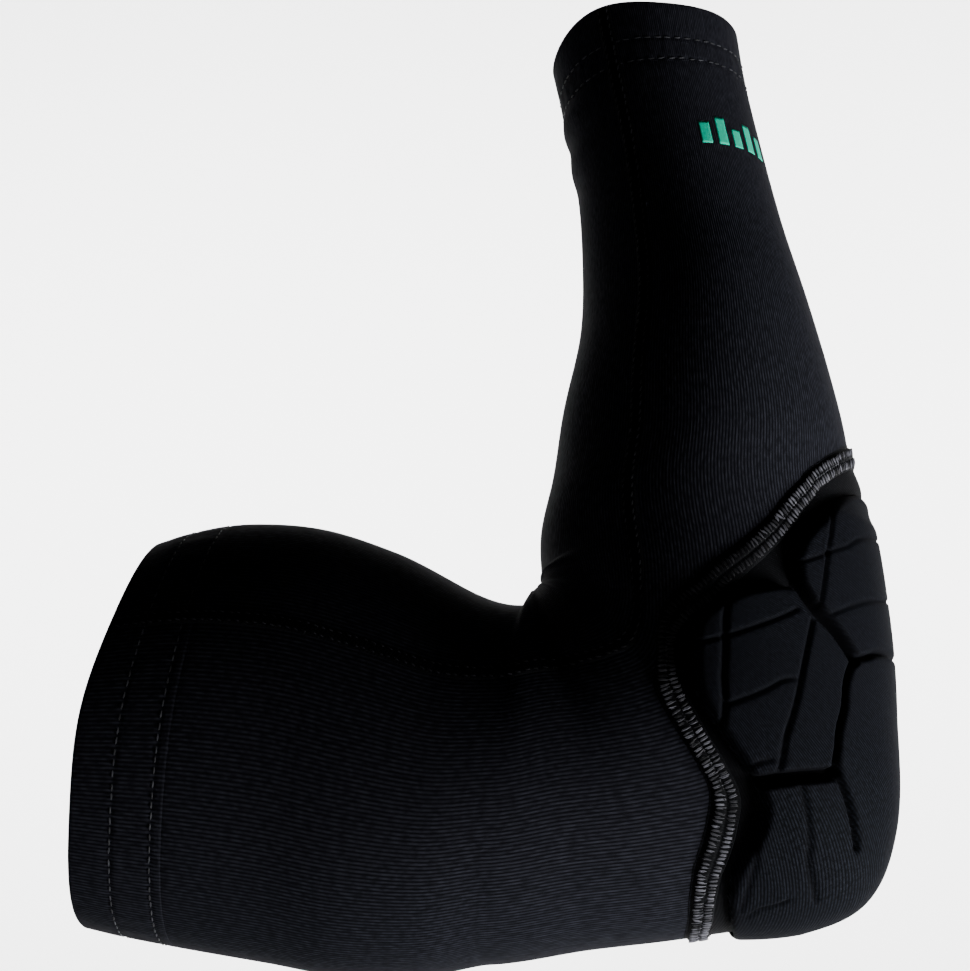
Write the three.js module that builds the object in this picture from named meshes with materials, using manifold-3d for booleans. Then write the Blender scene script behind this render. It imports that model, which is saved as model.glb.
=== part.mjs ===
// Padded arm sleeve, shown worn on a bent arm: a knitted tube from the wrist to the upper arm,
// with a knitted elbow panel that carries a moulded foam pad.
// Millimetres, +Z up. The forearm points up, the upper arm points to -X and the arm bends in the
// plane y = 0. The origin is the middle of the elbow, where the sleeve sits on the arm.
import * as THREE from "three";
import Module from "manifold-3d";

const wasm = await Module();
wasm.setup();

// Sizes of the worn arm, without the pad.
const WRIST_WIDTH = 57;
const WRIST_DEPTH = 64;
const FOREARM_WIDTH = 80;
const FOREARM_DEPTH = 92;
const ELBOW_WIDTH = 100;
const ELBOW_DEPTH = 100;
const UPPER_ARM_WIDTH = 122;
const UPPER_ARM_DEPTH = 98;
const FOREARM_LENGTH = 161;
const UPPER_ARM_LENGTH = 111.5;

// Pose: how far the forearm leans toward the upper arm and how far the upper arm rises.
const FOREARM_LEAN = 6.7;
const UPPER_ARM_RISE = 7;
const BEND_TURN = 90 + FOREARM_LEAN + UPPER_ARM_RISE;

// The crook is the point that the bend turns about, and the middle line of the bend runs at a
// radius of its own round it.
const CROOK_OFFSET = 0.48 * ELBOW_WIDTH;
const BEND_RADIUS = 0.62 * ELBOW_WIDTH;
const BEND_LENGTH = BEND_RADIUS * THREE.MathUtils.degToRad(BEND_TURN);
const SLEEVE_LENGTH = FOREARM_LENGTH + BEND_LENGTH + UPPER_ARM_LENGTH;

// The rims are cut a little aslant: the elbow side stands further out by this much.
const WRIST_SLANT = 1.2;
const UPPER_ARM_SLANT = 3.5;
const SLANT_REACH = 60;

// Cloth, seams and foam.
const CLOTH = 1.5;
const HEM_THICKNESS = 2.4;
const WRIST_HEM = 19;
const UPPER_ARM_HEM = 25;
const HEM_ROUND = 0.7;
const CLEARANCE = 0.3;
const PAD_CLEARANCE = 0.55;
const ARM_SEAM_ANGLE = 114;
const ARM_SEAM_WIDTH = 4.5;
const ARM_SEAM_HEIGHT = 0.8;
const ARM_SEAM_END = 1.5;
const PANEL_SEAM_WIDTH = 6.6;
const PANEL_SEAM_HEIGHT = 1.4;
const PAD_HEIGHT = 4.4;
const PAD_BEVEL = 3;
const PAD_TOE = 9;
const PAD_EDGE_SHARE = 0.45;

// Sections of the arm. limb: which length "along" is a share of; the forearm counts from the
// bend up to the wrist, the bend and the upper arm count away from it. middle: distance of the
// section's middle from the crook, as a share of ELBOW_WIDTH. width and depth: shares of the
// named girth's width and depth. blunt: how much fuller the elbow side is.
const SECTIONS = [
  { limb: "forearm", along: 1.0, girth: "wrist", middle: 0.554, width: 1.01, depth: 1.0, blunt: 0 },
  { limb: "forearm", along: 0.9, girth: "wrist", middle: 0.561, width: 0.99, depth: 1.01, blunt: 0 },
  { limb: "forearm", along: 0.75, girth: "wrist", middle: 0.576, width: 1.0, depth: 1.06, blunt: 0 },
  { limb: "forearm", along: 0.6, girth: "forearm", middle: 0.581, width: 0.76, depth: 0.8, blunt: 0 },
  { limb: "forearm", along: 0.45, girth: "forearm", middle: 0.58, width: 0.85, depth: 0.91, blunt: 0 },
  { limb: "forearm", along: 0.3, girth: "forearm", middle: 0.553, width: 0.99, depth: 1.0, blunt: 0.02 },
  { limb: "forearm", along: 0.18, girth: "elbow", middle: 0.533, width: 0.86, depth: 0.96, blunt: 0.05 },
  { limb: "forearm", along: 0.08, girth: "elbow", middle: 0.5, width: 0.905, depth: 0.98, blunt: 0.08 },
  { limb: "bend", along: 0.0, girth: "elbow", middle: 0.495, width: 0.92, depth: 0.99, blunt: 0.1 },
  { limb: "bend", along: 0.14, girth: "elbow", middle: 0.511, width: 0.95, depth: 1.0, blunt: 0.12 },
  { limb: "bend", along: 0.28, girth: "elbow", middle: 0.554, width: 1.035, depth: 1.0, blunt: 0.14 },
  { limb: "bend", along: 0.42, girth: "elbow", middle: 0.628, width: 1.185, depth: 1.0, blunt: 0.15 },
  { limb: "bend", along: 0.5, girth: "elbow", middle: 0.65, width: 1.23, depth: 1.0, blunt: 0.15 },
  { limb: "bend", along: 0.58, girth: "elbow", middle: 0.62, width: 1.17, depth: 1.0, blunt: 0.14 },
  { limb: "bend", along: 0.7, girth: "elbow", middle: 0.573, width: 1.075, depth: 0.99, blunt: 0.1 },
  { limb: "bend", along: 0.85, girth: "elbow", middle: 0.547, width: 1.025, depth: 0.98, blunt: 0.06 },
  { limb: "bend", along: 1.0, girth: "upperArm", middle: 0.57, width: 0.86, depth: 1.0, blunt: 0.04 },
  { limb: "upperArm", along: 0.15, girth: "upperArm", middle: 0.59, width: 0.91, depth: 1.0, blunt: 0.02 },
  { limb: "upperArm", along: 0.35, girth: "upperArm", middle: 0.565, width: 0.995, depth: 1.0, blunt: 0 },
  { limb: "upperArm", along: 0.55, girth: "upperArm", middle: 0.535, width: 1.025, depth: 0.99, blunt: 0 },
  { limb: "upperArm", along: 0.75, girth: "upperArm", middle: 0.532, width: 1.01, depth: 0.98, blunt: 0 },
  { limb: "upperArm", along: 0.9, girth: "upperArm", middle: 0.546, width: 0.967, depth: 0.96, blunt: 0 },
  { limb: "upperArm", along: 1.0, girth: "upperArm", middle: 0.561, width: 0.92, depth: 0.94, blunt: 0 },
];
const GIRTHS = {
  wrist: { width: WRIST_WIDTH, depth: WRIST_DEPTH },
  forearm: { width: FOREARM_WIDTH, depth: FOREARM_DEPTH },
  elbow: { width: ELBOW_WIDTH, depth: ELBOW_DEPTH },
  upperArm: { width: UPPER_ARM_WIDTH, depth: UPPER_ARM_DEPTH },
};

// Folds of the cloth, the same on both sides. angle: 0 at the elbow side, 180 in the crook.
// reach is along the sleeve, spread is round it in degrees, height is above the plain surface.
const FOLDS = [
  { name: "wrist wrinkle 1", limb: "forearm", along: 0.86, angle: 180, reach: 4, spread: 55, height: 0.9 },
  { name: "wrist wrinkle 2", limb: "forearm", along: 0.78, angle: 180, reach: 5, spread: 50, height: 0.9 },
  { name: "crook fold on the forearm", limb: "bend", along: 0.1, angle: 150,
    reach: 7, spread: 24, height: 1.6 },
  { name: "crook valley", limb: "bend", along: 0.32, angle: 140, reach: 7, spread: 22, height: -1.8 },
  { name: "crook fold in the middle", limb: "bend", along: 0.52, angle: 138,
    reach: 7, spread: 26, height: 1.4 },
  { name: "crook valley on the upper arm", limb: "bend", along: 0.76, angle: 128,
    reach: 6, spread: 30, height: -1.6 },
  { name: "crook fold on the upper arm", limb: "bend", along: 0.93, angle: 134,
    reach: 7, spread: 30, height: 1.5 },
  { name: "crook bottom", limb: "upperArm", along: 0.02, angle: 172, reach: 14, spread: 30, height: -3.5 },
  { name: "cloth lifted by the pad's top", limb: "bend", along: -0.115, angle: 0,
    reach: 7, spread: 24, height: 3 },
  { name: "cloth pressed over the elbow tip", limb: "bend", along: 0.37, angle: 0,
    reach: 14, spread: 30, height: -1.3 },
];

// Waves of the two open rims, the same on both sides. shift: millimetres toward the wrist.
const RIM_WAVES = [
  { rim: "wrist", angle: 120, spread: 38, shift: 4.8 },
  { rim: "upperArm", angle: 88, spread: 24, shift: -2.1 },
];

// Rims of the elbow panel and of the foam pad on it, the same on both sides. along: share of the
// bend, below zero on the forearm. panel and pad: half of the angle that each spreads over there;
// rows with no pad lie outside the foam.
const RIMS = [
  { along: -0.212, panel: 5, pad: 0 },
  { along: -0.19, panel: 15, pad: 0 },
  { along: -0.15, panel: 30, pad: 0 },
  { along: -0.103, panel: 42.5, pad: 0 },
  { along: -0.085, panel: 46, pad: 16 },
  { along: -0.067, panel: 48.5, pad: 28 },
  { along: -0.036, panel: 54, pad: 38 },
  { along: 0.003, panel: 60, pad: 46 },
  { along: 0.031, panel: 64.5, pad: 53 },
  { along: 0.1, panel: 76, pad: 61.5 },
  { along: 0.145, panel: 83, pad: 62 },
  { along: 0.16, panel: 85, pad: 63.5 },
  { along: 0.175, panel: 87, pad: 71 },
  { along: 0.209, panel: 90, pad: 81 },
  { along: 0.24, panel: 93.5, pad: 86 },
  { along: 0.287, panel: 98.5, pad: 92 },
  { along: 0.34, panel: 102.3, pad: 95.5 },
  { along: 0.43, panel: 103.4, pad: 94.5 },
  { along: 0.47, panel: 101.5, pad: 91.8 },
  { along: 0.492, panel: 99.7, pad: 86.5 },
  { along: 0.503, panel: 98.3, pad: 80 },
  { along: 0.512, panel: 96.5, pad: 71 },
  { along: 0.524, panel: 93, pad: 62 },
  { along: 0.54, panel: 85, pad: 57.5 },
  { along: 0.552, panel: 75, pad: 54.8 },
  { along: 0.566, panel: 66, pad: 52.3 },
  { along: 0.6, panel: 57, pad: 46.5 },
  { along: 0.625, panel: 50.5, pad: 40 },
  { along: 0.643, panel: 45.5, pad: 30 },
  { along: 0.655, panel: 41.5, pad: 15 },
  { along: 0.677, panel: 30, pad: 0 },
  { along: 0.691, panel: 17, pad: 0 },
  { along: 0.699, panel: 7, pad: 0 },
];

// V-shaped cuts in the foam, the same on both sides. A slit goes right through the foam, a groove
// and a score leave foam below them. deep: share of the foam's height. path: share of the bend and
// angle of each corner.
const CUTS = [
  { name: "upper slit", width: 4.6, deep: 2.2,
    path: [[0.139, 69], [0.181, 60], [0.203, 56], [0.222, 50.5], [0.254, 43]] },
  { name: "lower slit", width: 4, deep: 2.2,
    path: [[0.535, 76], [0.526, 71], [0.514, 67], [0.49, 64], [0.426, 50]] },
  { name: "tip groove", width: 3.4, deep: 0.65,
    path: [[0.252, 43], [0.24, 36], [0.226, 30], [0.21, 16], [0.204, 0]] },
  { name: "side groove", width: 3.4, deep: 0.65,
    path: [[0.25, 43.5], [0.295, 47], [0.34, 49], [0.38, 51], [0.418, 50.5], [0.44, 44], [0.476, 32]] },
  { name: "rear score", width: 2.4, deep: 0.35,
    path: [[0.275, 87], [0.354, 87.5], [0.404, 87], [0.448, 85], [0.494, 81]] },
  { name: "upper score", width: 2.4, deep: 0.35, path: [[0.315, 84], [0.287, 79], [0.212, 64]] },
  { name: "middle score", width: 2.4, deep: 0.35,
    path: [[0.223, 59], [0.284, 62], [0.348, 65], [0.44, 67], [0.482, 65]] },
  { name: "forearm score", width: 2.4, deep: 0.35,
    path: [[-0.03, 41], [0.045, 47], [0.106, 51], [0.185, 55]] },
  { name: "lower score", width: 2.4, deep: 0.35,
    path: [[0.474, 58], [0.501, 50], [0.529, 40], [0.545, 25]] },
];

// How finely the pieces are cut into facets.
const ROUND_STEPS = 30;
const FOREARM_STEPS = 12;
const BEND_STEPS = 16;
const UPPER_ARM_STEPS = 7;
const PANEL_COLUMNS = 12;
const PAD_COLUMNS = 14;
const SEAM_STEP = 7;
const ARM_SEAM_STEP = 11;
const CUT_STEP = 14;

const radians = THREE.MathUtils.degToRad;

// Smooth line through rows of [position, value, value, ...].
function smoothTable(rows) {
  const count = rows.length;
  const slope = rows.map((row, i) => {
    const before = rows[Math.max(i - 1, 0)];
    const after = rows[Math.min(i + 1, count - 1)];
    return row.map((value, k) => (after[k] - before[k]) / (after[0] - before[0]));
  });
  return (position) => {
    let i = 0;
    while (i < count - 2 && position > rows[i + 1][0]) i += 1;
    const step = rows[i + 1][0] - rows[i][0];
    const s = (position - rows[i][0]) / step;
    const rise = s * s * (3 - 2 * s);
    const leave = s * (1 - s) * (1 - s) * step;
    const arrive = s * s * (s - 1) * step;
    return rows[i].map((value, k) => {
      const next = rows[i + 1][k];
      return value + (next - value) * rise + slope[i][k] * leave + slope[i + 1][k] * arrive;
    });
  };
}

// Distance from the wrist rim, along the middle line, of a share of one limb.
function distance(limb, along) {
  if (limb === "forearm") return FOREARM_LENGTH * (1 - along);
  if (limb === "bend") return FOREARM_LENGTH + BEND_LENGTH * along;
  return FOREARM_LENGTH + BEND_LENGTH + UPPER_ARM_LENGTH * along;
}

const sectionAt = smoothTable(SECTIONS.map((row) => [
  distance(row.limb, row.along),
  row.middle * ELBOW_WIDTH,
  row.width * GIRTHS[row.girth].width / 2,
  row.depth * GIRTHS[row.girth].depth / 2,
  row.blunt,
]));

// Where a section starts in the bending plane and which way it runs toward the elbow side.
function sectionLine(t) {
  const forearmUp = new THREE.Vector3(-Math.sin(radians(FOREARM_LEAN)), 0, Math.cos(radians(FOREARM_LEAN)));
  const rise = radians(UPPER_ARM_RISE);
  const upperArmOut = new THREE.Vector3(-Math.cos(rise), 0, Math.sin(rise));
  const turned = THREE.MathUtils.clamp((t - FOREARM_LENGTH) / BEND_LENGTH, 0, 1);
  const angle = radians(FOREARM_LEAN - BEND_TURN * turned);
  const start = new THREE.Vector3(-CROOK_OFFSET, 0, CROOK_OFFSET)
    .addScaledVector(forearmUp, Math.max(FOREARM_LENGTH - t, 0))
    .addScaledVector(upperArmOut, Math.max(t - FOREARM_LENGTH - BEND_LENGTH, 0));
  return { start, toElbow: new THREE.Vector3(Math.cos(angle), 0, Math.sin(angle)) };
}

// Angle from the elbow side, 0 to 180, without regard to the side.
function sideOf(angle) {
  return Math.abs(THREE.MathUtils.euclideanModulo(angle + 180, 360) - 180);
}

// How far the slant and the waves of the rims move a point toward the wrist.
function slantAt(t, angle) {
  const share = {
    wrist: Math.max(1 - t / SLANT_REACH, 0) ** 2,
    upperArm: Math.max(1 - (SLEEVE_LENGTH - t) / SLANT_REACH, 0) ** 2,
  };
  const tilt = WRIST_SLANT * share.wrist - UPPER_ARM_SLANT * share.upperArm;
  let shift = tilt * Math.cos(radians(angle));
  for (const wave of RIM_WAVES) {
    const away = (sideOf(angle) - wave.angle) / wave.spread;
    shift += wave.shift * share[wave.rim] * Math.exp(-away * away);
  }
  return shift;
}

// Plain surface of the sleeve: t millimetres from the wrist rim, angle in degrees round it.
function plainPoint(t, angle) {
  const [, middle, halfWidth, halfDepth, blunt] = sectionAt(t);
  const { start, toElbow } = sectionLine(t);
  const cosine = Math.cos(radians(angle));
  const sine = Math.sin(radians(angle));
  const towardWrist = new THREE.Vector3(-toElbow.z, 0, toElbow.x);
  const point = start.addScaledVector(toElbow, middle + halfWidth * cosine);
  point.addScaledVector(towardWrist, slantAt(t, angle));
  point.y = -halfDepth * sine * (1 - blunt * cosine);
  return point;
}

function outwardAt(t, angle) {
  const small = 0.05;
  const along = plainPoint(t + small, angle).sub(plainPoint(t - small, angle));
  const round = plainPoint(t, angle + small).sub(plainPoint(t, angle - small));
  return round.cross(along).normalize();
}

function foldHeight(t, angle) {
  const side = sideOf(angle);
  let height = 0;
  for (const fold of FOLDS) {
    const away = (t - distance(fold.limb, fold.along)) / fold.reach;
    const round = (side - fold.angle) / fold.spread;
    height += fold.height * Math.exp(-away * away - round * round);
  }
  return height;
}

// A point at a height above or below the outer face of the cloth.
function clothPoint(t, angle, height) {
  return plainPoint(t, angle).addScaledVector(outwardAt(t, angle), height + foldHeight(t, angle));
}

// Closed solid between two grids of points. closed: the columns run round and meet.
function solidBetween(upper, lower, closed) {
  const rows = upper.length;
  const columns = upper[0].length;
  const points = [...upper.flat(), ...lower.flat()];
  const index = [];
  const top = (r, c) => r * columns + c % columns;
  const bottom = (r, c) => rows * columns + top(r, c);
  const quad = (a, b, c, d) => index.push(a, b, c, a, c, d);
  const last = closed ? columns : columns - 1;
  for (let c = 0; c < last; c += 1) {
    for (let r = 0; r < rows - 1; r += 1) {
      quad(top(r, c), top(r, c + 1), top(r + 1, c + 1), top(r + 1, c));
      quad(bottom(r, c), bottom(r + 1, c), bottom(r + 1, c + 1), bottom(r, c + 1));
    }
    quad(bottom(0, c), bottom(0, c + 1), top(0, c + 1), top(0, c));
    quad(top(rows - 1, c), top(rows - 1, c + 1), bottom(rows - 1, c + 1), bottom(rows - 1, c));
  }
  for (let r = 0; r < rows - 1 && !closed; r += 1) {
    quad(top(r, 0), top(r + 1, 0), bottom(r + 1, 0), bottom(r, 0));
    quad(bottom(r, last), bottom(r + 1, last), top(r + 1, last), top(r, last));
  }
  return facingOut({ points, index });
}

function facingOut({ points, index }) {
  let volume = 0;
  for (let i = 0; i < index.length; i += 3) {
    const [a, b, c] = [points[index[i]], points[index[i + 1]], points[index[i + 2]]];
    volume += a.dot(new THREE.Vector3().crossVectors(b, c));
  }
  const turned = volume < 0 ? index.reverse() : index;
  const vertProperties = new Float32Array(points.flatMap((point) => point.toArray()));
  return new wasm.Manifold(new wasm.Mesh({ numProp: 3, vertProperties, triVerts: new Uint32Array(turned) }));
}

function meshOf(solid, name, material) {
  const { vertProperties, triVerts } = solid.getMesh();
  const geometry = new THREE.BufferGeometry();
  geometry.setAttribute("position", new THREE.BufferAttribute(new Float32Array(vertProperties), 3));
  geometry.setIndex(new THREE.BufferAttribute(new Uint32Array(triVerts), 1));
  geometry.computeVertexNormals();
  const mesh = new THREE.Mesh(geometry, material);
  mesh.name = name;
  return mesh;
}

function spaced(from, to, steps) {
  return Array.from({ length: steps + 1 }, (_, i) => from + (to - from) * i / steps);
}

// Wall that runs round the arm. rows: distance from the wrist rim, height of its outer face and
// height of its inner face.
function tubeWall(rows) {
  const angles = spaced(0, 360, ROUND_STEPS).slice(0, -1);
  const outer = rows.map((row) => angles.map((angle) => clothPoint(row.t, angle, row.outer)));
  const inner = rows.map((row) => angles.map((angle) => clothPoint(row.t, angle, row.inner)));
  return solidBetween(outer, inner, true);
}

function hem(rim, inward, length) {
  const stations = [
    { t: rim, outer: -HEM_ROUND, inner: -HEM_THICKNESS + HEM_ROUND },
    { t: rim + inward * HEM_ROUND, outer: 0, inner: -HEM_THICKNESS },
    { t: rim + inward * length, outer: 0, inner: -HEM_THICKNESS },
  ];
  return tubeWall(stations);
}

// Near rim of the panel or the pad as a path of { t, angle }.
function rimOf(piece) {
  return RIMS.filter((row) => row[piece] > 0)
    .map((row) => ({ t: distance("bend", row.along), angle: row[piece] }));
}

// Millimetres of cloth in one degree round the sleeve.
function degreeLength(t, angle) {
  return plainPoint(t, angle + 0.5).distanceTo(plainPoint(t, angle - 0.5));
}

// How far t and angle change for one millimetre to the left of a path of { t, angle }.
function leftward(path, i, closed) {
  const last = path.length - 1;
  const back = closed ? path[(i + last) % path.length] : path[Math.max(i - 1, 0)];
  const ahead = closed ? path[(i + 1) % path.length] : path[Math.min(i + 1, last)];
  const { t, angle } = path[i];
  const run = plainPoint(ahead.t, ahead.angle).sub(plainPoint(back.t, back.angle)).normalize();
  const left = new THREE.Vector3().crossVectors(outwardAt(t, angle), run).normalize();
  const along = plainPoint(t + 0.5, angle).sub(plainPoint(t - 0.5, angle));
  const round = plainPoint(t, angle + 0.5).sub(plainPoint(t, angle - 0.5));
  return { t: left.dot(along) / along.lengthSq(), angle: left.dot(round) / round.lengthSq() };
}

// Solid patch over the elbow side. grow widens it all round; upper and lower give heights.
function patch(rows, columns, grow, upper, lower) {
  const shares = spaced(-1, 1, columns);
  const grid = (height) => rows.map(({ t, angle }, r) => {
    const left = leftward(rows, r, false);
    const wide = angle - grow * left.angle;
    const end = r === 0 ? -grow : grow;
    const isEnd = r === 0 || r === rows.length - 1;
    return shares.map((share) => {
      const moved = isEnd ? end : -grow * left.t * share ** 4;
      return clothPoint(t + moved, share * wide, height({ t, wide, share }));
    });
  });
  return solidBetween(grid(upper), grid(lower), false);
}

// Strip along a path of { t, angle }. profile: rows of side, upper and lower.
function strip(path, profile, closed) {
  const spots = path.map((spot, i) => ({ ...spot, left: leftward(path, i, closed) }));
  const line = (row, height) => spots.map(({ t, angle, left }) => (
    clothPoint(t + left.t * row.side, angle + left.angle * row.side, height)
  ));
  const upper = profile.map((row) => line(row, row.upper));
  const lower = profile.map((row) => line(row, row.lower));
  return solidBetween(upper, lower, closed);
}

// Points every few millimetres along a path given by its corners.
function dense(corners, step) {
  const path = [];
  for (let i = 0; i < corners.length - 1; i += 1) {
    const [from, to] = [corners[i], corners[i + 1]];
    const length = plainPoint(from.t, from.angle).distanceTo(plainPoint(to.t, to.angle));
    for (const s of spaced(0, 1, Math.max(Math.round(length / step), 1)).slice(0, -1)) {
      path.push({ t: from.t + (to.t - from.t) * s, angle: from.angle + (to.angle - from.angle) * s });
    }
  }
  path.push(corners[corners.length - 1]);
  return path;
}

// Main tube, with the opening for the elbow panel cut out of it.
function sleeveBody() {
  const bendEnd = FOREARM_LENGTH + BEND_LENGTH;
  const end = SLEEVE_LENGTH - UPPER_ARM_HEM - CLEARANCE;
  const stations = [
    ...spaced(WRIST_HEM + CLEARANCE, FOREARM_LENGTH, FOREARM_STEPS),
    ...spaced(FOREARM_LENGTH, bendEnd, BEND_STEPS).slice(1),
    ...spaced(bendEnd, end, UPPER_ARM_STEPS).slice(1),
  ];
  const tube = tubeWall(stations.map((t) => ({ t, outer: 0, inner: -CLOTH })));
  const reach = 2 * CLOTH;
  const opening = patch(rimOf("panel"), PANEL_COLUMNS, CLEARANCE / 2, () => reach, () => -reach);
  return tube.subtract(opening);
}

function elbowPanel() {
  return patch(rimOf("panel"), PANEL_COLUMNS, -CLEARANCE / 2, () => 0, () => -CLOTH);
}

// Foam pad: full height inside, lower at its rim, cut by slits, grooves and scores.
function elbowPad() {
  const floor = PAD_CLEARANCE;
  const full = floor + PAD_HEIGHT;
  const low = floor + PAD_HEIGHT * PAD_EDGE_SHARE;
  const rim = rimOf("pad");
  const upper = ({ t, wide, share }) => {
    const fromSide = (1 - Math.abs(share)) * wide * degreeLength(t, wide);
    const fromHead = t - rim[0].t;
    const fromToe = rim[rim.length - 1].t - t;
    const inside = Math.min(fromSide / PAD_BEVEL, fromHead / PAD_BEVEL, fromToe / PAD_TOE);
    return low + (full - low) * Math.min(Math.max(inside, 0), 1);
  };
  let pad = patch(rim, PAD_COLUMNS, 0, upper, () => floor);
  for (const cut of CUTS) {
    const profile = [
      { side: -cut.width / 2, upper: full + PAD_HEIGHT, lower: full + CLEARANCE },
      { side: 0, upper: full + PAD_HEIGHT, lower: full - PAD_HEIGHT * cut.deep },
      { side: cut.width / 2, upper: full + PAD_HEIGHT, lower: full + CLEARANCE },
    ];
    for (const side of [1, -1]) {
      const corners = cut.path.map(([along, angle]) => (
        { t: distance("bend", along), angle: side * angle }
      ));
      pad = pad.subtract(strip(dense(corners, CUT_STEP), profile, false));
    }
  }
  return pad;
}

// Flat seam whose edges are lower than its middle.
function seamProfile(width, height) {
  const low = CLEARANCE + height / 2;
  const full = CLEARANCE + height;
  return [
    { side: -width / 2, upper: low, lower: CLEARANCE },
    { side: -width / 4, upper: full, lower: CLEARANCE },
    { side: width / 4, upper: full, lower: CLEARANCE },
    { side: width / 2, upper: low, lower: CLEARANCE },
  ];
}

function panelSeam() {
  const near = rimOf("panel");
  const far = near.map(({ t, angle }) => ({ t, angle: -angle })).reverse();
  const loop = dense([...near, ...far, near[0]], SEAM_STEP).slice(0, -1);
  return strip(loop, seamProfile(PANEL_SEAM_WIDTH, PANEL_SEAM_HEIGHT), true);
}

function armSeam() {
  const steps = Math.round(SLEEVE_LENGTH / ARM_SEAM_STEP);
  const path = spaced(ARM_SEAM_END, SLEEVE_LENGTH - ARM_SEAM_END, steps)
    .map((t) => ({ t, angle: ARM_SEAM_ANGLE }));
  return strip(path, seamProfile(ARM_SEAM_WIDTH, ARM_SEAM_HEIGHT), false);
}

const knit = new THREE.MeshStandardMaterial({ name: "knit", color: "#0c0d10", roughness: 0.85 });
const hemKnit = new THREE.MeshStandardMaterial({ name: "hem_knit", color: "#0c0d10", roughness: 0.85 });
const panelKnit = new THREE.MeshStandardMaterial({ name: "panel_knit", color: "#111216", roughness: 0.85 });
const padFace = new THREE.MeshStandardMaterial({ name: "pad_face", color: "#1c1d21", roughness: 0.75 });
const seamThread = new THREE.MeshStandardMaterial({ name: "seam_thread", color: "#34363b", roughness: 0.6 });

const sleeve = new THREE.Group();
sleeve.name = "padded_arm_sleeve";
sleeve.add(
  meshOf(sleeveBody(), "sleeve_body", knit),
  meshOf(elbowPanel(), "elbow_panel", panelKnit),
  meshOf(elbowPad(), "elbow_pad", padFace),
  meshOf(panelSeam(), "panel_seam", seamThread),
  meshOf(armSeam(), "arm_seam", seamThread),
  meshOf(hem(0, 1, WRIST_HEM), "wrist_hem", hemKnit),
  meshOf(hem(SLEEVE_LENGTH, -1, UPPER_ARM_HEM), "upper_arm_hem", hemKnit),
);

export default sleeve;
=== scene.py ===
# %% [markdown]
# # A padded arm sleeve
# The real thing is one knitted compression tube, closed by a flat seam along the arm, hemmed at
# both ends, with a second knit let in over the elbow. That panel carries foam that was moulded
# between two cloths. Here each of those pieces is made as the maker makes it: cloth first, then
# foam, then thread. Everything is set out on one curved surface, so the pieces always meet.

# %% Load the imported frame
import math

import bpy
import numpy as np
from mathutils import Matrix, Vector


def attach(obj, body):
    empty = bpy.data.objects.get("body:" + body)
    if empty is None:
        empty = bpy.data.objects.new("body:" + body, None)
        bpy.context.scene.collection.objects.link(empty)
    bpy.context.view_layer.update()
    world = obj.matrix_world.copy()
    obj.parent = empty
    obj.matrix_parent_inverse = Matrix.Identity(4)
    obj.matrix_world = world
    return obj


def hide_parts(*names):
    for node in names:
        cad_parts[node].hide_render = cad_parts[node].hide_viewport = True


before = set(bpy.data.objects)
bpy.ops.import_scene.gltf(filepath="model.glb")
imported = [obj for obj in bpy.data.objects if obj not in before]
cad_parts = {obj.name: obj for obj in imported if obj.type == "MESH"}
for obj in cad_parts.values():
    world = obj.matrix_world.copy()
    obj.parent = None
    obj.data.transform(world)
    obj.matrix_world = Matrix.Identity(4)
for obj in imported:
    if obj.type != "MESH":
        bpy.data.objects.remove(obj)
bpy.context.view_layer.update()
MM = 0.001
print("frame nodes:", sorted(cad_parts))

# %% [markdown]
# ## The arm's surface
# A worn sleeve takes its form from the arm. It could be sculpted, but a bent tube is easier to
# keep exact as sections: each one is a blunt ellipse, and between sections the values run
# smoothly. A point is named by t, the distance from the wrist rim along the middle line, and by
# angle, which is 0 at the elbow side, 90 toward the camera and 180 in the crook.

# %% Sizes of the worn arm, in millimetres
GIRTHS = {"wrist": (57, 64), "forearm": (80, 92), "elbow": (100, 100), "upper arm": (122, 98)}
ELBOW_WIDTH = GIRTHS["elbow"][0]
FOREARM_LENGTH, UPPER_ARM_LENGTH = 161, 111.5
FOREARM_LEAN, UPPER_ARM_RISE = 6.7, 7
BEND_TURN = 90 + FOREARM_LEAN + UPPER_ARM_RISE
CROOK_OFFSET = 0.48 * ELBOW_WIDTH
BEND_LENGTH = 0.62 * ELBOW_WIDTH * math.radians(BEND_TURN)
SLEEVE_LENGTH = FOREARM_LENGTH + BEND_LENGTH + UPPER_ARM_LENGTH
WRIST_SLANT, UPPER_ARM_SLANT, SLANT_REACH = 1.2, 3.5, 60
# waves of the two rims: angle, spread in degrees, shift toward the wrist in mm
WRIST_WAVE, UPPER_ARM_WAVE = (120, 38, 4.8), (88, 24, -2.1)
CLOTH, HEM_THICKNESS = 1.5, 2.4
WRIST_HEM, UPPER_ARM_HEM = 19, 25
PAD_HEIGHT = 4.9

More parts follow.
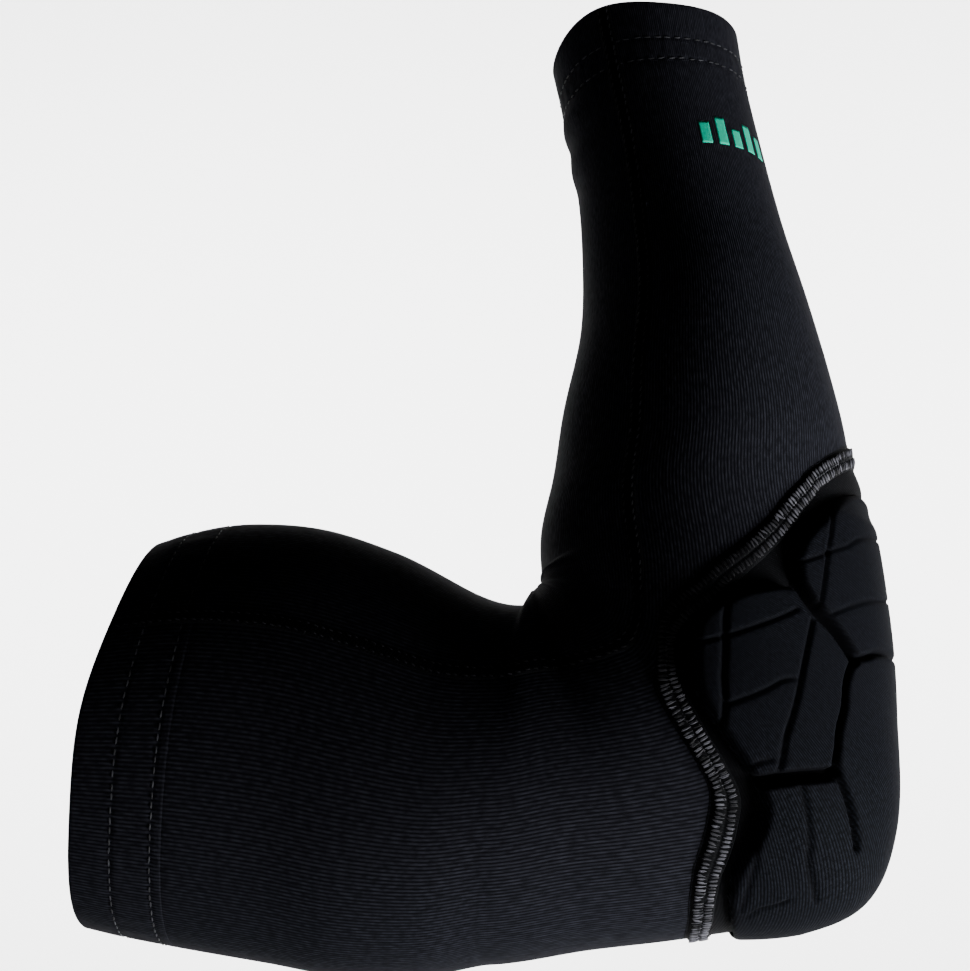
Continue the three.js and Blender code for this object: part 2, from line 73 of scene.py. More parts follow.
# limb, share along it, girth, middle, width, depth, blunt
SECTIONS = [
    ("forearm", 1.0, "wrist", 0.554, 1.01, 1.0, 0),
    ("forearm", 0.9, "wrist", 0.561, 0.99, 1.01, 0),
    ("forearm", 0.75, "wrist", 0.576, 1.0, 1.06, 0),
    ("forearm", 0.6, "forearm", 0.581, 0.76, 0.8, 0),
    ("forearm", 0.45, "forearm", 0.58, 0.85, 0.91, 0),
    ("forearm", 0.3, "forearm", 0.553, 0.99, 1.0, 0.02),
    ("forearm", 0.18, "elbow", 0.533, 0.86, 0.96, 0.05),
    ("forearm", 0.08, "elbow", 0.5, 0.905, 0.98, 0.08),
    ("bend", 0.0, "elbow", 0.495, 0.92, 0.99, 0.1),
    ("bend", 0.14, "elbow", 0.511, 0.95, 1.0, 0.12),
    ("bend", 0.28, "elbow", 0.554, 1.035, 1.0, 0.14),
    ("bend", 0.42, "elbow", 0.628, 1.185, 1.0, 0.15),
    ("bend", 0.5, "elbow", 0.65, 1.23, 1.0, 0.15),
    ("bend", 0.58, "elbow", 0.62, 1.17, 1.0, 0.14),
    ("bend", 0.7, "elbow", 0.573, 1.075, 0.99, 0.1),
    ("bend", 0.85, "elbow", 0.547, 1.025, 0.98, 0.06),
    ("bend", 1.0, "upper arm", 0.57, 0.86, 1.0, 0.04),
    ("upper arm", 0.15, "upper arm", 0.59, 0.91, 1.0, 0.02),
    ("upper arm", 0.35, "upper arm", 0.565, 0.995, 1.0, 0),
    ("upper arm", 0.55, "upper arm", 0.535, 1.025, 0.99, 0),
    ("upper arm", 0.75, "upper arm", 0.532, 1.01, 0.98, 0),
    ("upper arm", 0.9, "upper arm", 0.546, 0.967, 0.96, 0),
    ("upper arm", 1.0, "upper arm", 0.561, 0.92, 0.94, 0),
]


def distance(limb, share):
    """Millimetres from the wrist rim of a share of one limb."""
    if limb == "forearm":
        return FOREARM_LENGTH * (1 - share)
    if limb == "bend":
        return FOREARM_LENGTH + BEND_LENGTH * share
    return FOREARM_LENGTH + BEND_LENGTH + UPPER_ARM_LENGTH * share


section_places = np.array([distance(row[0], row[1]) for row in SECTIONS])
section_values = np.array([
    (row[3] * ELBOW_WIDTH, row[4] * GIRTHS[row[2]][0] / 2, row[5] * GIRTHS[row[2]][1] / 2, row[6])
    for row in SECTIONS
])
print("the middle line is", round(SLEEVE_LENGTH), "mm long")


# %% Smooth values between the sections
def smooth_table(places, values, at):
    """Values at the places in at, on a smooth line through the rows."""
    ahead = np.minimum(np.arange(len(places)) + 1, len(places) - 1)
    back = np.maximum(np.arange(len(places)) - 1, 0)
    slopes = (values[ahead] - values[back]) / (places[ahead] - places[back])[:, None]
    i = np.clip(np.searchsorted(places, at, side="right") - 1, 0, len(places) - 2)
    step = (places[i + 1] - places[i])[..., None]
    s = (at - places[i])[..., None] / step
    rise = s * s * (3 - 2 * s)
    leave = s * (1 - s) ** 2 * step
    arrive = s * s * (s - 1) * step
    run = values[i + 1] - values[i]
    return values[i] + run * rise + slopes[i] * leave + slopes[i + 1] * arrive


def plain_points(t, angle):
    """Points of the unfolded surface, in millimetres."""
    t, angle = np.broadcast_arrays(np.asarray(t, float), np.asarray(angle, float))
    section = smooth_table(section_places, section_values, t)
    middle, half_width, half_depth, blunt = np.moveaxis(section, -1, 0)
    lean, rise = math.radians(FOREARM_LEAN), math.radians(UPPER_ARM_RISE)
    up = np.maximum(FOREARM_LENGTH - t, 0)
    out = np.maximum(t - FOREARM_LENGTH - BEND_LENGTH, 0)
    turned = np.clip((t - FOREARM_LENGTH) / BEND_LENGTH, 0, 1)
    toward = np.radians(FOREARM_LEAN - BEND_TURN * turned)
    wrist = np.maximum(1 - t / SLANT_REACH, 0) ** 2
    upper = np.maximum(1 - (SLEEVE_LENGTH - t) / SLANT_REACH, 0) ** 2
    cosine, sine = np.cos(np.radians(angle)), np.sin(np.radians(angle))
    reach = middle + half_width * cosine
    slant = (WRIST_SLANT * wrist - UPPER_ARM_SLANT * upper) * cosine
    side = np.abs((angle + 180) % 360 - 180)
    for share, (place, spread, shift) in ((wrist, WRIST_WAVE), (upper, UPPER_ARM_WAVE)):
        slant = slant + shift * share * np.exp(-((side - place) / spread) ** 2)
    x = -CROOK_OFFSET - up * math.sin(lean) - out * math.cos(rise)
    z = CROOK_OFFSET + up * math.cos(lean) + out * math.sin(rise)
    x = x + reach * np.cos(toward) - slant * np.sin(toward)
    z = z + reach * np.sin(toward) + slant * np.cos(toward)
    y = -half_depth * sine * (1 - blunt * cosine)
    return np.stack([x, y, z], axis=-1)


def outward(t, angle):
    """Unit normals of the unfolded surface."""
    along = plain_points(t + 0.05, angle) - plain_points(t - 0.05, angle)
    around = plain_points(t, angle + 0.05) - plain_points(t, angle - 0.05)
    normal = np.cross(around, along)
    return normal / np.linalg.norm(normal, axis=-1, keepdims=True)


print("elbow tip at", np.round(plain_points(distance("bend", 0.5), 0), 1), "mm")

# %% [markdown]
# ## Folds of worn cloth
# Knit that is pulled over a bent arm bunches in the crook and wrinkles where the tube is a little
# long for the wrist. A cloth simulation on an arm would give folds too, but other ones each time a
# size changes. So each fold is one row: a soft ridge or valley with a place, a reach and a height.

# %% The folds
# limb, share along it, angle, reach in mm, spread in degrees, height in mm
FOLDS = [
    ("forearm", 0.86, 180, 4, 55, 0.9),
    ("forearm", 0.78, 180, 5, 50, 0.9),
    ("bend", 0.1, 150, 7, 24, 1.6),
    ("bend", 0.32, 140, 7, 22, -1.8),
    ("bend", 0.52, 138, 7, 26, 1.4),
    ("bend", 0.76, 128, 6, 30, -1.6),
    ("bend", 0.93, 134, 7, 30, 1.5),
    ("upper arm", 0.02, 172, 14, 30, -3.5),
    ("bend", -0.115, 0, 7, 24, 3),
    ("bend", 0.37, 0, 14, 30, -1.3),
]


def fold_height(t, angle):
    """How far the folds lift or sink the cloth, in millimetres."""
    side = np.abs((angle + 180) % 360 - 180)
    height = np.zeros(np.broadcast(t, angle).shape)
    for limb, share, place, reach, spread, rise in FOLDS:
        away = (t - distance(limb, share)) / reach
        height += rise * np.exp(-away**2 - ((side - place) / spread) ** 2)
    return height


def cloth_points(t, angle, height):
    """Points at a height over the outer face of the cloth, in millimetres."""
    t, angle = np.broadcast_arrays(np.asarray(t, float), np.asarray(angle, float))
    rise = height + fold_height(t, angle)
    return plain_points(t, angle) + outward(t, angle) * rise[..., None]


print("folds:", len(FOLDS))

# %% [markdown]
# ## Rims of the panel and the pad
# The elbow panel is a shield shape: narrow on the forearm, widest beside the elbow, pinched where
# the foam is hinged, narrow again under the upper arm. The foam keeps a margin inside it.

# %% Rims: share of the bend, half spread of the panel, half spread of the pad
RIMS = [
    (-0.212, 5, 0), (-0.19, 15, 0), (-0.15, 30, 0), (-0.103, 42.5, 0),
    (-0.085, 46, 16), (-0.067, 48.5, 28), (-0.036, 54, 38), (0.003, 60, 46),
    (0.031, 64.5, 53), (0.06, 69.5, 58), (0.1, 76, 61.5), (0.145, 83, 62),
    (0.16, 85, 63.5), (0.175, 87, 71), (0.209, 90, 81), (0.24, 93.5, 86),
    (0.287, 98.5, 92), (0.34, 102.3, 95.5), (0.39, 104, 95.5), (0.43, 103.4, 94.5),
    (0.47, 101.5, 91.8), (0.492, 99.7, 86.5), (0.503, 98.3, 80), (0.512, 96.5, 71),
    (0.524, 93, 62), (0.54, 85, 57.5), (0.552, 75, 54.8), (0.566, 66, 52.3),
    (0.6, 57, 46.5), (0.625, 50.5, 40), (0.643, 45.5, 30), (0.655, 41.5, 15),
    (0.677, 30, 0), (0.691, 17, 0), (0.699, 7, 0),
]
PANEL_RIM = [(distance("bend", share), panel) for share, panel, _ in RIMS]
PAD_RIM = [(distance("bend", share), pad) for share, _, pad in RIMS if pad]


def half_spread(rim, t):
    """Half of the angle that a rim spreads over at t, below zero past its ends."""
    places, spreads = zip(*rim)
    return np.interp(t, places, spreads, left=-10, right=-10)


def rim_loop(rim):
    """The whole rim as a closed list of (t, angle): down the near side, up the far side."""
    return rim + [(t, -angle) for t, angle in reversed(rim)]


def dense_path(corners, step, closed=False):
    """(t, angle) every step millimetres of surface, on a smooth line through the corners."""
    corners = np.array(corners, float)
    if closed:
        corners = np.vstack([corners[-2:], corners, corners[:3]])
    points = plain_points(corners[:, 0], corners[:, 1])
    run = np.concatenate([[0], np.cumsum(np.linalg.norm(np.diff(points, axis=0), axis=1))])
    first, last = (run[2], run[-3]) if closed else (run[0], run[-1])
    count = max(int(round((last - first) / step)), 2)
    at = np.linspace(first, last, count + 1)[: count if closed else count + 1]
    return smooth_table(run, corners, at)


seam_path = dense_path(rim_loop(PANEL_RIM), 1.0, closed=True)
print("the panel's rim is about", len(seam_path), "mm round")

# %% [markdown]
# ## Cloth from a grid
# Cloth is a sheet, so every cloth piece starts as Blender's grid primitive. Its corners run from
# 0 to 1 both ways, and a small function says where each of its points lies on the sleeve. Across
# runs round the arm and along runs from wrist to shoulder, so the faces point outward by
# themselves. The same numbers become the UV map, so that ribs and twill follow the cloth.


# %% Picking one piece
def deselect():
    bpy.ops.object.select_all(action="DESELECT")


def choose(piece):
    """Selects one piece alone and makes it the active one."""
    deselect()
    piece.select_set(True)
    bpy.context.view_layer.objects.active = piece


def edit(piece):
    """Opens one piece in edit mode."""
    choose(piece)
    bpy.ops.object.mode_set(mode="EDIT")


deselect()
print("selected now:", len(bpy.context.selected_objects))


# %% A grid primitive laid on the sleeve
def grid_piece(name, columns, rows, place):
    """A grid whose points are moved. place(across, along) gives t, angle, height and two UV values.
    It returns the piece, and t and angle of each of its points."""
    deselect()
    bpy.ops.mesh.primitive_grid_add(x_subdivisions=columns, y_subdivisions=rows, size=1)
    piece = bpy.context.object
    piece.name = piece.data.name = name
    mesh = piece.data
    flat = np.empty(len(mesh.vertices) * 3)
    mesh.vertices.foreach_get("co", flat)
    across, along = flat.reshape(-1, 3)[:, 0] + 0.5, flat.reshape(-1, 3)[:, 1] + 0.5
    t, angle, height, u, v = place(across, along)
    mesh.vertices.foreach_set("co", (cloth_points(t, angle, height) * MM).ravel())
    corner = np.empty(len(mesh.loops), int)
    mesh.loops.foreach_get("vertex_index", corner)
    mesh.uv_layers[0].name = "Cloth"
    mesh.uv_layers["Cloth"].data.foreach_set("uv", np.stack([u, v], axis=-1)[corner].ravel())
    mesh.update()
    return piece, t, angle


wrist_rim = cloth_points(0, np.arange(0, 361, 5.0), 0)
girth = np.linalg.norm(np.diff(wrist_rim, axis=0), axis=1).sum()
print("the wrist rim is", round(girth), "mm round")


# %% Cutting, closing, giving thickness and filing a piece
def delete_points(piece, unwanted):
    """Deletes the points that the list unwanted marks, and their faces."""
    edit(piece)
    bpy.ops.mesh.select_mode(type="VERT")
    bpy.ops.mesh.select_all(action="DESELECT")
    bpy.ops.object.mode_set(mode="OBJECT")
    piece.data.vertices.foreach_set("select", unwanted)
    bpy.ops.object.mode_set(mode="EDIT")
    bpy.ops.mesh.delete(type="VERT")
    bpy.ops.object.mode_set(mode="OBJECT")


def merge_ends(piece):
    """Merges the edges of a grid that meet after one turn."""
    edit(piece)
    bpy.ops.mesh.select_all(action="SELECT")
    bpy.ops.mesh.remove_doubles(threshold=0.01 * MM)
    bpy.ops.object.mode_set(mode="OBJECT")


def give_thickness(piece, thickness):
    """A wall on the inner side of the cloth, with its rims closed."""
    wall = piece.modifiers.new("Thickness", "SOLIDIFY")
    wall.thickness = thickness * MM
    wall.offset = -1
    choose(piece)
    bpy.ops.object.modifier_apply(modifier=wall.name)


def file_piece(piece, material, node=None):
    """Smooth shading, material, body and the CAD node that the piece stands for."""
    choose(piece)
    bpy.ops.object.shade_smooth()
    piece.data.materials.clear()
    piece.data.materials.append(material)
    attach(piece, "root")
    if node:
        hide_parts(node)
    print(piece.name, len(piece.data.polygons), "faces")


print("helpers ready")

# %% [markdown]
# ## Finishes
# Every finish here is polyester: ribbed knit on the tube, a twill-faced knit over the elbow,
# twisted thread in the seams and an ink print. Photographs of cloth would be easy, but node
# patterns keep a real scale and have no edges, so each pattern is a few nodes on the cloth's
# UV map.

# %% One colour function and one node function
def linear(code):
    """An sRGB hex colour as linear RGBA."""
    values = [int(code[i:i + 2], 16) / 255 for i in (1, 3, 5)]
    return (*[v / 12.92 if v <= 0.04045 else ((v + 0.055) / 1.055) ** 2.4 for v in values], 1)


def add_node(tree, kind, links=None, inputs=None, **settings):
    """A shader node with its settings, its input values and its links from other sockets."""
    node = tree.nodes.new("ShaderNode" + kind)
    for name, value in settings.items():
        setattr(node, name, value)
    for key, value in (inputs or {}).items():
        node.inputs[key].default_value = value
    for key, socket in (links or {}).items():
        tree.links.new(socket, node.inputs[key])
    return node


def new_finish(name, **shader):
    """An empty material with a Principled shader whose sockets are set, by their names."""
    material = bpy.data.materials.new(name)
    material.use_nodes = True
    tree = material.node_tree
    surface = tree.nodes["Principled BSDF"]
    for socket, value in shader.items():
        surface.inputs[socket.replace("_", " ")].default_value = value
    return material, tree, surface


def stripes(tree, position, pitch):
    """0 to 1 and back once every pitch of the position socket."""
    turns = add_node(tree, "Math", {0: position}, {1: 2 * math.pi / pitch}, operation="MULTIPLY")
    wave = add_node(tree, "Math", {0: turns.outputs[0]}, operation="SINE")
    return add_node(tree, "MapRange", {0: wave.outputs[0]}, {1: -1.0, 2: 1.0}).outputs[0]


print("a dark grey of #202127 is", [round(c, 4) for c in linear("#202127")])

# %% [markdown]
# ## Ribbed compression knit
# Circular-knitted polyester with elastane: the loops stand in wales along the sleeve, so the eye
# sees fine ribs that spread where the arm is thick. The number of wales round the arm is fixed and
# the ribs follow U, which keeps that behaviour. The loops break each rib into short light dashes.

# %% Knit
# Such knit has wales about half a millimetre apart. They would be too fine to show, so they are
# drawn a little under one millimetre apart.
WALES_ROUND = 300
LOOP_LENGTH = 2.4 * MM
KNIT_ROUGHNESS = 0.8
SHEEN_ROUGHNESS, SHEEN_TINT = 0.35, "#a9adba"


def knit_shader(name, sheen, gloss):
    """Dark polyester: rough, hardly glossy, with a thin cool sheen where light grazes."""
    material, tree, surface = new_finish(
        name, Roughness=KNIT_ROUGHNESS, Specular_IOR_Level=gloss,
        Sheen_Weight=sheen, Sheen_Roughness=SHEEN_ROUGHNESS)
    surface.inputs["Sheen Tint"].default_value = linear(SHEEN_TINT)
    cloth = add_node(tree, "UVMap", uv_map="Cloth")
    return material, tree, surface, add_node(tree, "SeparateXYZ", {0: cloth.outputs[0]})


def lay_pattern(tree, surface, pattern, dark, light, relief):
    """Colour and relief from one pattern: dark in the valleys, light on the threads."""
    tone = add_node(tree, "Mix", {"Factor": pattern}, data_type="RGBA")
    tone.inputs["A"].default_value = linear(dark)
    tone.inputs["B"].default_value = linear(light)
    tree.links.new(tone.outputs["Result"], surface.inputs["Base Color"])
    bump = add_node(tree, "Bump", {"Height": pattern}, {"Strength": 0.7, "Distance": relief * MM})
    tree.links.new(bump.outputs[0], surface.inputs["Normal"])


def broken(tree, pattern, first, second, scales, detail=1.0):
    """The pattern broken up by stretched noise over two position sockets."""
    wide = add_node(tree, "Math", {0: first}, {1: scales[0]}, operation="MULTIPLY")
    tall = add_node(tree, "Math", {0: second}, {1: scales[1]}, operation="MULTIPLY")
    spot = add_node(tree, "CombineXYZ", {0: wide.outputs[0], 1: tall.outputs[0]})
    speck = add_node(tree, "TexNoise", {0: spot.outputs[0]}, {"Scale": 1.0, "Detail": detail})
    share = add_node(tree, "MapRange", {0: speck.outputs[0]}, {1: 0.3, 2: 0.7, 3: 0.25, 4: 1.0})
    left = add_node(tree, "Math", {0: pattern, 1: share.outputs[0]}, operation="MULTIPLY")
    return left.outputs[0]


# Circular-knitted polyester, dyed black: matt, with soft grey ribs where the light falls on it.
body_knit, tree, surface, axes = knit_shader("ribbed_compression_knit_black", 0.005, 0.01)
ribs = stripes(tree, axes.outputs[0], 1 / WALES_ROUND)
dashes = (WALES_ROUND * 0.8, 1 / LOOP_LENGTH)
loops = broken(tree, ribs, axes.outputs[0], axes.outputs[1], dashes)
lay_pattern(tree, surface, loops, "#09090c", "#202127", 0.1)
rib_pitch = math.pi * sum(GIRTHS["forearm"]) / 2 / WALES_ROUND
print("ribs are", round(rib_pitch, 2), "mm apart on the forearm")

# %% [markdown]
# ## Twill-faced knit
# The elbow cloth has a tighter face with fine diagonal lines. It is the same cloth on the panel and
# over the foam, where the hot mould has pressed it a little flatter; on the panel its colour is
# darker, as painted shade. In the pad's grooves and slits it is painted darker still, as painted
# shade.

# %% Twill
# Real twill lines are about half a millimetre apart. They are drawn coarser, so that they show.
TWILL_PITCH = 0.8 * MM
TWILL_SLOPE = -0.35
SPECKS_PER_METRE = 900


def twill_knit(name, dark, light, gloss):
    """Faint diagonal lines, painted darker as shade where a point attribute marks the pad's grooves
    and slits.
    """
    material, tree, surface, axes = knit_shader(name, 0.01, gloss)
    slanted = add_node(tree, "Math", {0: axes.outputs[0]}, {1: -TWILL_SLOPE}, operation="MULTIPLY")
    across = add_node(tree, "Math", {0: slanted.outputs[0], 1: axes.outputs[1]}, operation="ADD")
    lines = stripes(tree, across.outputs[0], TWILL_PITCH)
    specks = (SPECKS_PER_METRE, SPECKS_PER_METRE)
    threads = broken(tree, lines, axes.outputs[0], axes.outputs[1], specks)
    # painted shade: the grooves and slits of the pad are darkened through a point attribute
    groove_shade = add_node(tree, "Attribute", attribute_name="GrooveShade")
    unshaded = add_node(tree, "Math", {1: groove_shade.outputs["Fac"]}, {0: 1.0}, operation="SUBTRACT")
    shown = add_node(tree, "Math", {0: threads, 1: unshaded.outputs[0]}, operation="MULTIPLY")
    lay_pattern(tree, surface, shown.outputs[0], dark, light, 0.09)
    return material


# Black polyester twill, coloured darker than the same twill on the pad as painted shade: it frames
# the pad.
panel_twill_shaded = twill_knit("twill_knit_black_painted_shade", "#020203", "#090a0c", 0.03)
# The same twill over foam, ironed smooth by the mould: matt charcoal.
pad_cover = twill_knit("moulded_twill_knit_charcoal", "#030304", "#13151a", 0.01)
print("twill lines are", TWILL_PITCH / MM, "mm apart")

# %% [markdown]
# ## Seam thread and print ink
# Textured polyester thread is round and a little glossy, so single stitches catch the light and
# others stay dark. A tone value on each stitch gives that. The print is a matt rubbery ink.

# %% Thread and ink
def seam_thread(name, dark, light, roughness, gloss):
    """Polyester thread: each stitch has its own tone between the two colours."""
    material, tree, surface = new_finish(name, Roughness=roughness, Specular_IOR_Level=gloss)
    tone = add_node(tree, "Attribute", attribute_name="Tone")
    mixed = add_node(tree, "Mix", {"Factor": tone.outputs["Fac"]}, data_type="RGBA")
    mixed.inputs["A"].default_value = linear(dark)
    mixed.inputs["B"].default_value = linear(light)
    tree.links.new(mixed.outputs["Result"], surface.inputs["Base Color"])
    return material


# Fluffy textured thread, half in shadow: single grey rungs stand out of a dark ladder.
ladder_thread = seam_thread("textured_polyester_thread_grey", "#020203", "#55555c", 0.5, 0.14)
# The same thread in black: only a faint dotted row.
dark_thread = seam_thread("textured_polyester_thread_black", "#010102", "#15151a", 0.6, 0.15)
# Tightly spun thread: a thin broken line of grey.
hem_thread = seam_thread("spun_polyester_thread_grey", "#070708", "#2b2c31", 0.55, 0.15)
# Silicone ink: flat, strong teal without a highlight. It follows the loops under it, so it is a
# little uneven in tone and height.
INK_GRAIN_PER_METRE = 900
ink, tree, surface = new_finish("silicone_print_teal", Roughness=0.6, Specular_IOR_Level=0.02)
here = add_node(tree, "TexCoord")
grain = {"Scale": INK_GRAIN_PER_METRE, "Detail": 2.0}
uneven = add_node(tree, "TexNoise", {"Vector": here.outputs["Object"]}, grain)
lay_pattern(tree, surface, uneven.outputs[0], "#008a6e", "#009e82", 0.08)
print("threads and ink ready")

# %% [markdown]
# ## The knitted tube
# One cloth from the wrist hem to the upper-arm hem. Its two ends slip under the hems by two
# millimetres, so no light shows between them, and the elbow is cut out along the panel's rim,
# under the seam that covers both raw edges.

# %% Tube
# how far each end of the tube slips under its hem, and how much lower it lies there
TUCK, TUCK_DEPTH = 2, 0.6


def tube_place(across, along):
    """Round the arm and from under one hem to under the other; both ends dive a little."""
    start, end = WRIST_HEM - TUCK, SLEEVE_LENGTH - UPPER_ARM_HEM + TUCK
    t = start + (end - start) * along
    angle = 360 * across
    from_end = np.minimum(t - start, end - t)
    height = -TUCK_DEPTH * np.clip(1 - from_end / TUCK, 0, 1)
    return t, angle, height, across, t * MM


tube, tube_t, tube_angle = grid_piece("sleeve_tube", 200, 250, tube_place)
signed = (tube_angle + 180) % 360 - 180
delete_points(tube, np.abs(signed) < half_spread(PANEL_RIM, tube_t))
merge_ends(tube)
give_thickness(tube, CLOTH)
file_piece(tube, body_knit, "sleeve_body")

# %% [markdown]
# ## Hems
# The maker turns the cloth in and runs two lines of stitches through both layers. A hem is a tube
# whose section is a long loop: out along the face, round the fold and back inside. The stitch
# lines pull the face in a little, so it puckers between them.

# %% Hems
# distance of each stitch line from its rim, in mm
WRIST_LINES = (11.5, 18.2)
UPPER_ARM_LINES = (11.3, 22)
FOLD_ROUND = 0.9
# how deep a stitch line pulls the face in and how wide the dent is, in mm
STITCH_PULL, STITCH_DENT = 0.22, 0.8
# small waves between the two lines: how many round the arm, their height and reach in mm
PUCKERS, PUCKER_HEIGHT, PUCKER_REACH = 37, 0.1, 5
HEM_LOOP_ROWS = 120


def hem_section(length, lines):
    """One turn round the hem's section: distance from the rim and height of each point."""
    fold = [(FOLD_ROUND, 0), (FOLD_ROUND * 0.3, -0.35), (0, -1.2), (FOLD_ROUND * 0.3, -2.05)]
    corners = [(FOLD_ROUND, 0), (length, 0), (length, -HEM_THICKNESS), (FOLD_ROUND, -HEM_THICKNESS)]
    corners += fold[::-1]
    corners = np.array(corners)
    run = np.concatenate([[0], np.cumsum(np.linalg.norm(np.diff(corners, axis=0), axis=1))])
    at = np.linspace(0, run[-1], HEM_LOOP_ROWS + 1)
    inward = np.interp(at, run, corners[:, 0])
    height = np.interp(at, run, corners[:, 1])
    for line in lines:
        on_face = height > -0.5
        height -= STITCH_PULL * np.exp(-((inward - line) / STITCH_DENT) ** 2) * on_face
    return inward, height


def hem_piece(name, rim, sign, length, lines, node):
    """A hem from the rim at t = rim; sign is the way that t runs from the rim into the sleeve."""
    inward, height = hem_section(length, lines)
    if sign < 0:
        inward, height = inward[::-1], height[::-1]

    def place(across, along):
        row, rows = along * HEM_LOOP_ROWS, np.arange(HEM_LOOP_ROWS + 1)
        deep = np.interp(row, rows, inward)
        angle = 360 * across
        between = np.exp(-((deep - np.mean(lines)) / PUCKER_REACH) ** 2)
        pucker = PUCKER_HEIGHT * np.sin(np.radians(angle) * PUCKERS) * between
        t = rim + sign * deep
        return t, angle, np.interp(row, rows, height) + pucker, across, t * MM

    hem, _, _ = grid_piece(name, 180, HEM_LOOP_ROWS, place)
    merge_ends(hem)
    file_piece(hem, body_knit, node)


hem_piece("wrist_hem_cloth", 0, 1, WRIST_HEM, WRIST_LINES, "wrist_hem")
hem_piece("upper_arm_hem_cloth", SLEEVE_LENGTH, -1, UPPER_ARM_HEM, UPPER_ARM_LINES, "upper_arm_hem")

# %% [markdown]
# ## The elbow panel
# A second knit fills the opening. Its grid narrows with the rim, and its UV map is in metres of
# real cloth, measured along the side of the elbow, so the twill keeps its scale round the bend.

# %% Panel
SIDE_ANGLE = 45
side_t = np.linspace(0, SLEEVE_LENGTH, 400)
side_run = np.linalg.norm(np.diff(plain_points(side_t, SIDE_ANGLE), axis=0), axis=1)
side_length = np.concatenate([[0], np.cumsum(side_run)])
MEAN_RADIUS = 50


def cloth_uv(t, angle):
    """Metres round the arm and along the side of the elbow."""
    return np.radians(angle) * MEAN_RADIUS * MM, np.interp(t, side_t, side_length) * MM


def panel_place(across, along):
    """From rim to rim, so the sheet narrows with the panel."""
    t = PANEL_RIM[0][0] + (PANEL_RIM[-1][0] - PANEL_RIM[0][0]) * along
    angle = (2 * across - 1) * half_spread(PANEL_RIM, t)
    return t, angle, np.zeros_like(t), *cloth_uv(t, angle)


panel, _, _ = grid_piece("elbow_panel_cloth", 150, 160, panel_place)
give_thickness(panel, CLOTH)
file_piece(panel, panel_twill_shaded, "elbow_panel")

# %% [markdown]
# ## The foam pad
# The foam is cut and pressed in a hot mould, which rounds its rim and pinches it along grooves so
# that it can bend. Modelling each block apart would lose the skin that runs over all of them. So
# the pad is one dense sheet whose height is worked out from distances: to the pad's rim, to the
# grooves and to its two thinner ends. A slit goes down to the panel, a groove halfway and a score
# only dents the foam. The same distances say where the cloth is painted darker, as painted shade in
# the grooves and slits.

# %% Grooves: width in mm, depth as a share of the foam, path as (share of the bend, angle)
GROOVES = {
    "upper slit": (4.2, 1.0, [
        (0.125, 74), (0.153, 64), (0.181, 60),
        (0.203, 56), (0.22, 51), (0.254, 43)]),
    "lower slit": (3.4, 1.0, [
        (0.54, 79), (0.526, 71), (0.515, 67),
        (0.49, 64), (0.462, 59), (0.426, 50)]),
    "tip groove": (2.6, 0.55, [(0.254, 43), (0.24, 36), (0.226, 30), (0.21, 16), (0.204, 0)]),
    "side groove": (3, 0.55, [
        (0.254, 43), (0.295, 47), (0.34, 49), (0.371, 51), (0.396, 51), (0.418, 50.5),
        (0.44, 44), (0.465, 36), (0.476, 32)]),
    "rear score": (2.2, 0.24, [
        (0.256, 86), (0.304, 87), (0.404, 87),
        (0.448, 85), (0.479, 83), (0.499, 82)]),
    "upper score": (1.8, 0.16, [
        (0.373, 94), (0.343, 89), (0.315, 84),
        (0.287, 79), (0.251, 72), (0.212, 64)]),
    "middle score": (2.2, 0.24, [
        (0.223, 59), (0.284, 62), (0.348, 65),
        (0.409, 67), (0.44, 67), (0.482, 65)]),
    "cross score": (1.8, 0.16, [(0.457, 84), (0.423, 80), (0.387, 75), (0.354, 70), (0.34, 66)]),
    "short score": (1.8, 0.16, [(0.507, 71), (0.49, 70), (0.476, 68)]),
    "forearm score": (2, 0.2, [(-0.03, 41), (0.017, 45), (0.072, 49), (0.142, 53), (0.198, 56)]),
    "top cross score": (1.8, 0.14, [
        (0.114, 61), (0.098, 55), (0.078, 48),
        (0.061, 40), (0.039, 31), (0.012, 0)]),
    "tip cross score": (1.8, 0.14, [(0.209, 55), (0.187, 48), (0.167, 41), (0.145, 30), (0.11, 0)]),
    "lower score": (2, 0.2, [
        (0.474, 58), (0.487, 54), (0.501, 50),
        (0.515, 45), (0.529, 40), (0.545, 25)]),
    "lower edge score": (1.8, 0.14, [
        (0.56, 55), (0.577, 48), (0.593, 43), (0.607, 38), (0.632, 27)]),
    "underside score": (1.8, 0.12, [(0.627, 23), (0.61, 27), (0.588, 28), (0.571, 29)]),
}


def distance_to(path, points):
    """Millimetres from each point to the nearest stretch of a path of (t, angle)."""
    line = plain_points(path[:, 0], path[:, 1])
    nearest = np.full(len(points), np.inf)
    for start, run in zip(line[:-1], np.diff(line, axis=0)):
        share = np.clip((points - start) @ run / (run @ run), 0, 1)
        away = np.linalg.norm(points - start - share[:, None] * run, axis=1)
        nearest = np.minimum(nearest, away)
    return nearest


print("grooves and scores on each side:", len(GROOVES))

# %% What the grooves leave
# half widths at which the wall of a slit and its painted shade end, and how sharply
SLIT_WALL, SLIT_SHADE, SLIT_SHARP = 1.1, 1.5, 1.5


def groove_marks(points):
    """The share of the foam that the grooves leave, and how much painted shade darkens the cloth,
    at points.
    """
    left, groove_shade = np.ones(len(points)), np.zeros(len(points))
    for width, depth, path in GROOVES.values():
        corners = [(distance("bend", share), at) for share, at in path]
        away = distance_to(dense_path(corners, 2), points) / (width / 2)
        if depth == 1:
            cut = np.clip(SLIT_SHARP * (SLIT_WALL - away), 0, 1)
            shade_mark = np.clip(SLIT_SHARP * (SLIT_SHADE - away), 0, 1)
        else:
            cut = depth * np.exp(-3 * away**2)
            shade_mark = (0.6 + depth / 2) * np.exp(-2 * away**2)
        left *= 1 - cut
        groove_shade = np.maximum(groove_shade, shade_mark)
    return left, groove_shade


middle_marks = groove_marks(plain_points(np.full(1, distance("bend", 0.35)), np.full(1, 30.0)))
print("share of the foam left in the middle of the pad:", round(float(middle_marks[0][0]), 2))

